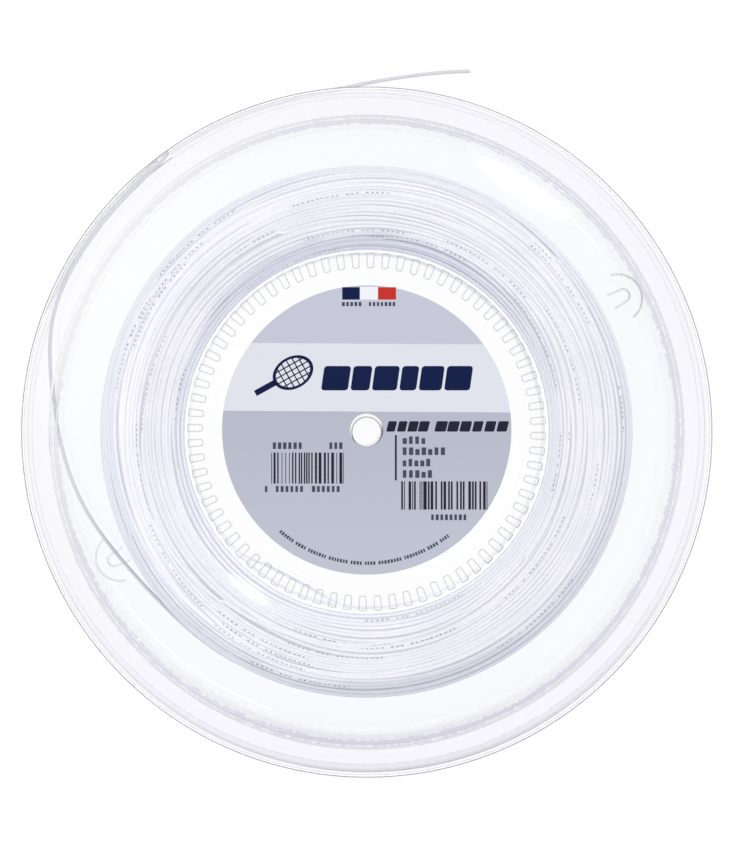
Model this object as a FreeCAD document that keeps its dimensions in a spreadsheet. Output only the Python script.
import FreeCAD, Part
import Sketcher
import math
import os

# String reel: two clear moulded halves (flanges), each with half of a slatted barrel, a coil of
# string between their webs, a split band between the rim lips and a sticker on each side.
# The spindle axis is Z and the origin lies on it, midway between the halves. The front half is
# at z > 0, the rear half at z < 0. Lengths are in mm, angles in degrees from +X about Z.

V = FreeCAD.Vector
doc = FreeCAD.newDocument("string_reel")

# ---------------------------------------------------------------- driving dimensions
# (alias, number or sheet formula); a "face" is a distance from the mid-plane
SIZES = [
    # rim and web of a half; the web steps out to the rim over a short cone
    ("rim_radius", 120.0), ("rim_face", 14.0), ("web_face", 12.6), ("wall", 1.6),
    ("rim_chamfer", 0.4), ("lip_depth", 0.8), ("seat_radius", 119.2),
    ("cone_start", 107.9), ("cone_end", 110.0), ("cone_shift", 0.6),
    # hub: the front half's spigot enters the rear half's socket
    ("bore_radius", 5.0), ("hub_radius", 7.6), ("spigot_radius", 6.3), ("spigot_reach", 3.0),
    ("fit_gap", 0.05),
    # thicker web inside the barrel
    ("core_step_radius", 63.2), ("core_step", 0.3), ("core_face", "=web_face - wall - core_step"),
    # barrel slats, from their tips near the mid-plane to just inside the web
    ("slat_count", 72), ("slat_phase", 3.7), ("slat_inner", 57.0), ("slat_outer", 62.55),
    ("slat_half_inner", 1.28), ("slat_half_outer", 1.5), ("slat_tip", 0.8),
    ("slat_overlap", 0.1),
    # string catches: radial positions of the tongue, and half widths
    ("catch_front_angle", 28.0), ("catch_rear_angle", 207.2), ("catch_root", 96.3),
    ("catch_tip_centre", 101.1), ("catch_tip_radius", 2.22), ("catch_root_half", 2.67),
    ("slit_half", 0.25), ("catch_root_gap", 0.03), ("catch_cut_depth", 6.0),
    # curved slit beyond the tongue's tip
    ("arc_centre", 98.96), ("arc_radius", 8.43), ("arc_end", 100.7),
    # stickers, a little off centre along +Y
    ("label_radius", 50.3), ("label_hole", 5.78), ("label_shift", 0.72),
    ("label_thickness", 0.14), ("label_gap", 0.01),
    # split band: the upper end flares outwards and overlaps the angle of the lower end
    ("band_inner", "=seat_radius + fit_gap"), ("band_thickness", 0.6),
    ("band_half", "=rim_face - lip_depth - fit_gap"),
    ("band_flare_start", 135.0), ("band_end_up", 127.5), ("band_end_low", 125.3),
    ("band_flare", 0.82),
    # coil of string
    ("coil_inner", 63.6), ("coil_outer", 93.0), ("coil_half", 10.85), ("coil_chamfer", 2.0),
    # single string, and its clearances inside the coil, outside the coil and from the band
    ("string_radius", 0.625), ("string_inner_gap", 0.35), ("string_coil_gap", 0.08),
    ("string_band_gap", 0.06),
]
FLARE_STEPS = 6  # straight facets along each side of the band's flare

sheet = doc.addObject("Spreadsheet::Sheet", "Sizes")
for row, (name, value) in enumerate(SIZES, 1):
    sheet.set("A%d" % row, name)
    sheet.set("B%d" % row, str(value))
    sheet.setAlias("B%d" % row, name)
doc.recompute()


# ---------------------------------------------------------------- sizes as expressions
# A size is written as a sum of aliases and numbers with spaces between, such as "wall - fit_gap".
def size(expression):
    """Present value of a size."""
    total, sign = 0.0, 1.0
    for token in expression.split():
        if token in "+-":
            sign = 1.0 if token == "+" else -1.0
        else:
            number = float(token) if token[0].isdigit() else float(getattr(sheet, token))
            total += sign * number
    return total


def bound(expression):
    """The same size as a FreeCAD expression on the sheet."""
    return " ".join("Sizes." + token if token[0].isalpha() else token
                    for token in expression.split())


def negated(expression):
    return "0 - " + expression.translate(str.maketrans("+-", "-+"))


def bind(feature, prop, expression):
    setattr(feature, prop, size(expression))
    feature.setExpression(prop, bound(expression))


# ---------------------------------------------------------------- sketch helpers
def origin_item(body, role):
    return next(item for item in body.Origin.OriginFeatures if item.Role == role)


def new_sketch(body, name, plane="XY_Plane", height=0.0, turn=0.0):
    sketch = body.newObject("Sketcher::SketchObject", name)
    sketch.AttachmentSupport = [(origin_item(body, plane), "")]
    sketch.MapMode = "FlatFace"
    sketch.AttachmentOffset = FreeCAD.Placement(
        V(0, 0, height), FreeCAD.Rotation(V(0, 0, 1), turn))
    return sketch


def drive(sketch, constraint, expression):
    index = sketch.addConstraint(constraint)
    sketch.setExpression("Constraints[%d]" % index, expression)


def pin(sketch, geometry, position, x=None, y=None):
    """Hold a point of the sketch at sheet-driven coordinates."""
    for kind, expression in (("DistanceX", x), ("DistanceY", y)):
        if expression is not None:
            drive(sketch, Sketcher.Constraint(kind, -1, 1, geometry, position, size(expression)),
                  bound(expression))


def set_radius(sketch, geometry, expression):
    drive(sketch, Sketcher.Constraint("Radius", geometry, size(expression)), bound(expression))


def add_line(sketch, start, end):
    return sketch.addGeometry(Part.LineSegment(start, end), False)


def add_arc(sketch, centre_x, radius, half_angle):
    """Arc centred on the sketch's X axis and symmetric about it."""
    circle = Part.Circle(V(centre_x, 0, 0), V(0, 0, 1), radius)
    return sketch.addGeometry(Part.ArcOfCircle(circle, -half_angle, half_angle), False)


def closed_lines(sketch, corners):
    """Closed outline of straight lines; line k starts at corner k."""
    lines = [add_line(sketch, corner, corners[(k + 1) % len(corners)])
             for k, corner in enumerate(corners)]
    for k, line in enumerate(lines):
        following = lines[(k + 1) % len(lines)]
        sketch.addConstraint(Sketcher.Constraint("Coincident", line, 2, following, 1))
    return lines


def polygon(sketch, corners):
    """Closed outline whose corners are pairs of sizes."""
    lines = closed_lines(sketch, [V(size(x), size(y), 0) for x, y in corners])
    for line, (x, y) in zip(lines, corners):
        pin(sketch, line, 1, x, y)


# ---------------------------------------------------------------- feature helpers
def revolve(body, sketch, name, angle="360"):
    feature = body.newObject("PartDesign::Revolution", name)
    feature.Profile = sketch
    feature.ReferenceAxis = (sketch, ["V_Axis"])
    bind(feature, "Angle", angle)
    doc.recompute()
    return feature


def pad(body, sketch, name, length, towards_minus_z=False):
    feature = body.newObject("PartDesign::Pad", name)
    feature.Profile = sketch
    bind(feature, "Length", length)
    feature.Reversed = towards_minus_z
    doc.recompute()
    return feature


def pocket(body, sketch, name):
    """Cut through the web, equally to both sides of the sketch."""
    before = body.Shape.Volume
    feature = body.newObject("PartDesign::Pocket", name)
    feature.Profile = sketch
    bind(feature, "Length", "catch_cut_depth")
    feature.Midplane = True
    doc.recompute()
    if not body.Shape.Volume < before - 1.0:
        raise RuntimeError(name + " cuts nothing")


# ---------------------------------------------------------------- catch outlines
def tongue_outline(sketch, root, sign):
    """Tongue along +X with a round tip and legs that close in slightly towards it.

    sign "+" widens it by half a slit for the opening, "-" narrows it for the tongue itself.
    """
    radius = "catch_tip_radius %s slit_half" % sign
    half = "catch_root_half %s slit_half" % sign
    tip_x, tip_y = size("catch_tip_centre"), size(radius)
    root_x, root_y = size(root), size(half)
    tip = add_arc(sketch, tip_x, tip_y, math.pi / 2)
    upper = add_line(sketch, V(tip_x, tip_y, 0), V(root_x, root_y, 0))
    base = add_line(sketch, V(root_x, root_y, 0), V(root_x, -root_y, 0))
    lower = add_line(sketch, V(root_x, -root_y, 0), V(tip_x, -tip_y, 0))
    for joint in ((tip, 2, upper, 1), (upper, 2, base, 1), (base, 2, lower, 1),
                  (lower, 2, tip, 1)):
        sketch.addConstraint(Sketcher.Constraint("Coincident", *joint))
    pin(sketch, tip, 3, "catch_tip_centre", "0")
    set_radius(sketch, tip, radius)
    pin(sketch, tip, 1, x="catch_tip_centre")
    pin(sketch, tip, 2, x="catch_tip_centre")
    pin(sketch, base, 1, root, half)
    pin(sketch, base, 2, root, negated(half))


def arc_slit_outline(sketch):
    """Two concentric arcs bulging towards +X, closed by short ends."""
    centre_x, end_x = size("arc_centre"), size("arc_end")
    arcs = []
    for expression in ("arc_radius + slit_half", "arc_radius - slit_half"):
        radius = size(expression)
        half_angle = math.acos((end_x - centre_x) / radius)
        arc = add_arc(sketch, centre_x, radius, half_angle)
        pin(sketch, arc, 3, "arc_centre", "0")
        set_radius(sketch, arc, expression)
        pin(sketch, arc, 1, x="arc_end")
        pin(sketch, arc, 2, x="arc_end")
        arcs.append((arc, radius * math.sin(half_angle)))
    (outer_arc, outer_y), (inner_arc, inner_y) = arcs
    for position, side in ((1, -1), (2, 1)):
        end = add_line(sketch, V(end_x, side * outer_y, 0), V(end_x, side * inner_y, 0))
        sketch.addConstraint(Sketcher.Constraint("Coincident", outer_arc, position, end, 1))
        sketch.addConstraint(Sketcher.Constraint("Coincident", inner_arc, position, end, 2))


# ---------------------------------------------------------------- moulded halves
# side is +1 for the front half and -1 for the rear half
def flange_disc(body, side):
    """Rim, web and hub, revolved from one section of (radius, z)."""
    outward = (lambda z: z) if side > 0 else negated
    section = [
        ("bore_radius", outward("web_face")),
        ("cone_start", outward("web_face")),
        ("cone_end", outward("rim_face")),
        ("rim_radius - rim_chamfer", outward("rim_face")),
        ("rim_radius", outward("rim_face - rim_chamfer")),
        ("rim_radius", outward("rim_face - lip_depth")),
        ("seat_radius", outward("rim_face - lip_depth")),
        ("seat_radius", outward("rim_face - wall")),
        ("cone_end + cone_shift", outward("rim_face - wall")),
        ("cone_start + cone_shift", outward("web_face - wall")),
        ("core_step_radius", outward("web_face - wall")),
        ("core_step_radius", outward("core_face")),
        ("hub_radius", outward("core_face")),
    ]
    if side > 0:
        section += [
            ("hub_radius", "0"),
            ("spigot_radius", "0"),
            ("spigot_radius", "0 - spigot_reach"),
            ("bore_radius", "0 - spigot_reach"),
        ]
    else:
        section += [
            ("hub_radius", "0 - fit_gap"),
            ("spigot_radius + fit_gap", "0 - fit_gap"),
            ("spigot_radius + fit_gap", "0 - spigot_reach - fit_gap"),
            ("bore_radius", "0 - spigot_reach - fit_gap"),
        ]
    sketch = new_sketch(body, body.Name + "_section", "XZ_Plane")
    polygon(sketch, section)
    revolve(body, sketch, body.Name + "_disc")


def flange_slats(body, side):
    """Ring of tapered fingers that stop just short of the mid-plane."""
    sketch = new_sketch(body, body.Name + "_slat", height=side * size("slat_tip"),
                        turn=size("slat_phase"))
    polygon(sketch, [
        ("slat_inner", "0 - slat_half_inner"),
        ("slat_outer", "0 - slat_half_outer"),
        ("slat_outer", "slat_half_outer"),
        ("slat_inner", "slat_half_inner"),
    ])
    slat = pad(body, sketch, body.Name + "_slat_pad", "core_face - slat_tip + slat_overlap",
               towards_minus_z=side < 0)
    one_slat_volume = body.Shape.Volume
    ring = body.newObject("PartDesign::PolarPattern", body.Name + "_slats")
    ring.Originals = [slat]
    ring.Axis = (origin_item(body, "Z_Axis"), [""])
    ring.Angle = 360.0
    ring.Occurrences = int(size("slat_count"))
    ring.setExpression("Occurrences", "Sizes.slat_count")
    body.Tip = ring
    doc.recompute()
    if not body.Shape.Volume > one_slat_volume + 100.0:
        raise RuntimeError(body.Name + " slats missing")


def flange(label, side, catch_angle):
    body = doc.addObject("PartDesign::Body", label)
    flange_disc(body, side)
    flange_slats(body, side)
    web_height = side * size("web_face")
    mouth = new_sketch(body, label + "_catch_mouth", height=web_height, turn=catch_angle)
    tongue_outline(mouth, "catch_root", "+")
    pocket(body, mouth, label + "_catch_cut")
    slit = new_sketch(body, label + "_catch_slit", height=web_height, turn=catch_angle)
    arc_slit_outline(slit)
    pocket(body, slit, label + "_slit_cut")
    return body


def catch_tongue(label, side, catch_angle):
    """Tongue of a catch, as thick as the web; its root face stands just clear of the web."""
    body = doc.addObject("PartDesign::Body", label)
    sketch = new_sketch(body, label + "_outline", height=side * size("web_face"),
                        turn=catch_angle)
    tongue_outline(sketch, "catch_root + catch_root_gap", "-")
    pad(body, sketch, label + "_pad", "wall", towards_minus_z=side > 0)
    return body


def sticker(label, side):
    """Thin disc with a spindle hole, just clear of the web's outer face."""
    body = doc.addObject("PartDesign::Body", label)
    sketch = new_sketch(body, label + "_outline", height=side * size("web_face + label_gap"))
    for radius in ("label_radius", "label_hole"):
        centre = V(0, size("label_shift"), 0)
        circle = sketch.addGeometry(Part.Circle(centre, V(0, 0, 1), size(radius)), False)
        pin(sketch, circle, 3, "0", "label_shift")
        set_radius(sketch, circle, radius)
    pad(body, sketch, label + "_pad", "label_thickness", towards_minus_z=side < 0)
    return body


# ---------------------------------------------------------------- retaining band
def polar(radius, degrees):
    angle = math.radians(degrees)
    return V(radius * math.cos(angle), radius * math.sin(angle), 0)


def flare_side(layer):
    """Points and x, y expressions along the flare: layer 0 is its inner side, 1 its outer."""
    sweep = size("band_flare_start - band_end_up")
    side = []
    for step in range(FLARE_STEPS + 1):
        fraction = step / FLARE_STEPS
        lift = fraction * fraction
        radius = size("band_inner") + layer * size("band_thickness") + lift * size("band_flare")
        radius_text = ("(Sizes.band_inner + %d * Sizes.band_thickness"
                       " + Sizes.band_flare * %.9f)" % (layer, lift))
        angle_text = ("((Sizes.band_flare_start - Sizes.band_end_up) * %.9f * 1 deg)"
                      % -fraction)
        side.append((polar(radius, -sweep * fraction),
                     "%s * cos(%s)" % (radius_text, angle_text),
                     "%s * sin(%s)" % (radius_text, angle_text)))
    return side


def rim_band():
    """Split strip, built with its flare's start at angle zero and then turned into place."""
    body = doc.addObject("PartDesign::Body", "rim_band")
    section = new_sketch(body, "rim_band_section", "XZ_Plane")
    polygon(section, [
        ("band_inner", "0 - band_half"),
        ("band_inner + band_thickness", "0 - band_half"),
        ("band_inner + band_thickness", "band_half"),
        ("band_inner", "band_half"),
    ])
    strip = revolve(body, section, "rim_band_strip", "360 - band_flare_start + band_end_low")
    # the split has to lie just below angle zero, so the strip turns the other way if it is filled
    in_split = V(size("band_inner") + size("band_thickness") / 2, -5.0, 0)
    if strip.Shape.isInside(in_split, 0.01, True):
        strip.Reversed = True
        doc.recompute()

    flare = new_sketch(body, "rim_band_flare", height=-size("band_half"))
    outline = flare_side(0) + flare_side(1)[::-1]
    lines = closed_lines(flare, [point for point, _, _ in outline])
    for line, (point, x_text, y_text) in zip(lines, outline):
        drive(flare, Sketcher.Constraint("DistanceX", -1, 1, line, 1, point.x), x_text)
        drive(flare, Sketcher.Constraint("DistanceY", -1, 1, line, 1, point.y), y_text)
    pad(body, flare, "rim_band_flare_pad", "band_half + band_half")
    body.Placement = FreeCAD.Placement(
        V(0, 0, 0), FreeCAD.Rotation(V(0, 0, 1), size("band_flare_start")))
    doc.recompute()
    return body


# ---------------------------------------------------------------- string
def string_winding():
    """The wound coil as one solid ring, chamfered at its outer corners."""
    body = doc.addObject("PartDesign::Body", "string_winding")
    sketch = new_sketch(body, "string_winding_section", "XZ_Plane")
    polygon(sketch, [
        ("coil_inner", "0 - coil_half"),
        ("coil_outer - coil_chamfer", "0 - coil_half"),
        ("coil_outer", "0 - coil_half + coil_chamfer"),
        ("coil_outer", "coil_half - coil_chamfer"),
        ("coil_outer - coil_chamfer", "coil_half"),
        ("coil_inner", "coil_half"),
    ])
    revolve(body, sketch, "string_winding_coil")
    return body


def string_run(label, points):
    """Round string swept along a smooth curve in the mid-plane, as a plain Part::Feature."""
    curve = Part.BSplineCurve()
    curve.interpolate(points)
    start = curve.value(curve.FirstParameter)
    direction = curve.tangent(curve.FirstParameter)[0]
    profile = Part.Wire([Part.makeCircle(size("string_radius"), start, direction)])
    sweep = Part.BRepOffsetAPI.MakePipeShell(Part.Wire([curve.toShape()]))
    sweep.setBiNormalMode(V(0, 0, 1))
    sweep.add(profile)
    sweep.build()
    sweep.makeSolid()
    pipe = sweep.shape()
    run = doc.addObject("Part::Feature", label)
    # the sweep may come back as a shell
    run.Shape = pipe if pipe.ShapeType == "Solid" else Part.Solid(pipe)
    return run


# string centre lines: inside the coil, off the coil, under the band and over the band
inside_coil = size("coil_inner - string_radius - string_inner_gap")
off_coil = size("coil_outer + string_radius + string_coil_gap")
under_band = size("band_inner - string_radius - string_band_gap")
over_band = size("band_inner + band_thickness + string_radius + string_band_gap")

# (radius, angle): a short run that dips inwards between the barrel's slats
INNER_END = [
    (inside_coil, 221.5), (62.0, 224.5), (60.3, 229.5), (58.8, 235.0), (58.2, 241.0),
    (58.4, 247.0), (59.4, 253.0), (60.9, 258.0), (inside_coil, 263.0),
]
# (radius, angle): from the coil out to the band, through its split and along its outside
OUTER_RUN = [
    (off_coil, 228.0), (94.3, 220.0), (97.7, 207.0), (102.9, 195.0), (108.6, 180.0),
    (112.9, 170.0), (117.0, 161.5), (under_band, 154.0), (under_band, 148.0),
    (under_band, 141.0), (under_band, 136.0), (118.68, 132.0), (118.92, 129.6),
    (119.12, 128.1), (119.62, 126.8), (120.4, 125.6), (120.74, 124.6), (120.76, 123.0),
    (120.62, 120.0), (over_band, 115.0), (over_band, 109.0), (over_band, 104.0),
]
# (x, y): the free end, leaving the band towards +X
FREE_END = [
    (-20.9, 118.95), (-9.2, 120.95), (-2.0, 122.4), (8.8, 124.35), (18.7, 125.75),
    (31.3, 126.85), (36.6, 127.0),
]

# ---------------------------------------------------------------- build
front_angle, rear_angle = size("catch_front_angle"), size("catch_rear_angle")
nodes = [
    flange("front_flange", 1, front_angle),
    flange("rear_flange", -1, rear_angle),
    catch_tongue("front_catch_tongue", 1, front_angle),
    catch_tongue("rear_catch_tongue", -1, rear_angle),
    sticker("front_label", 1),
    sticker("rear_label", -1),
    rim_band(),
    string_winding(),
    string_run("string_inner_end", [polar(*station) for station in INNER_END]),
    string_run("string_outer_run", [polar(*station) for station in OUTER_RUN]
               + [V(x, y, 0) for x, y in FREE_END]),
]
doc.recompute()

# ---------------------------------------------------------------- checks and files
for obj in doc.Objects:
    if any(word in obj.State for word in ("Invalid", "Error")):
        raise RuntimeError("failed object: %s %s" % (obj.Name, obj.State))
for node in nodes:
    shape = node.Shape
    if shape.isNull() or not shape.isValid() or shape.Volume <= 0 or len(shape.Solids) != 1:
        raise RuntimeError("bad shape: " + node.Label)

os.makedirs("parts", exist_ok=True)
for node in nodes:
    node.Shape.exportStep("parts/%s.step" % node.Label)
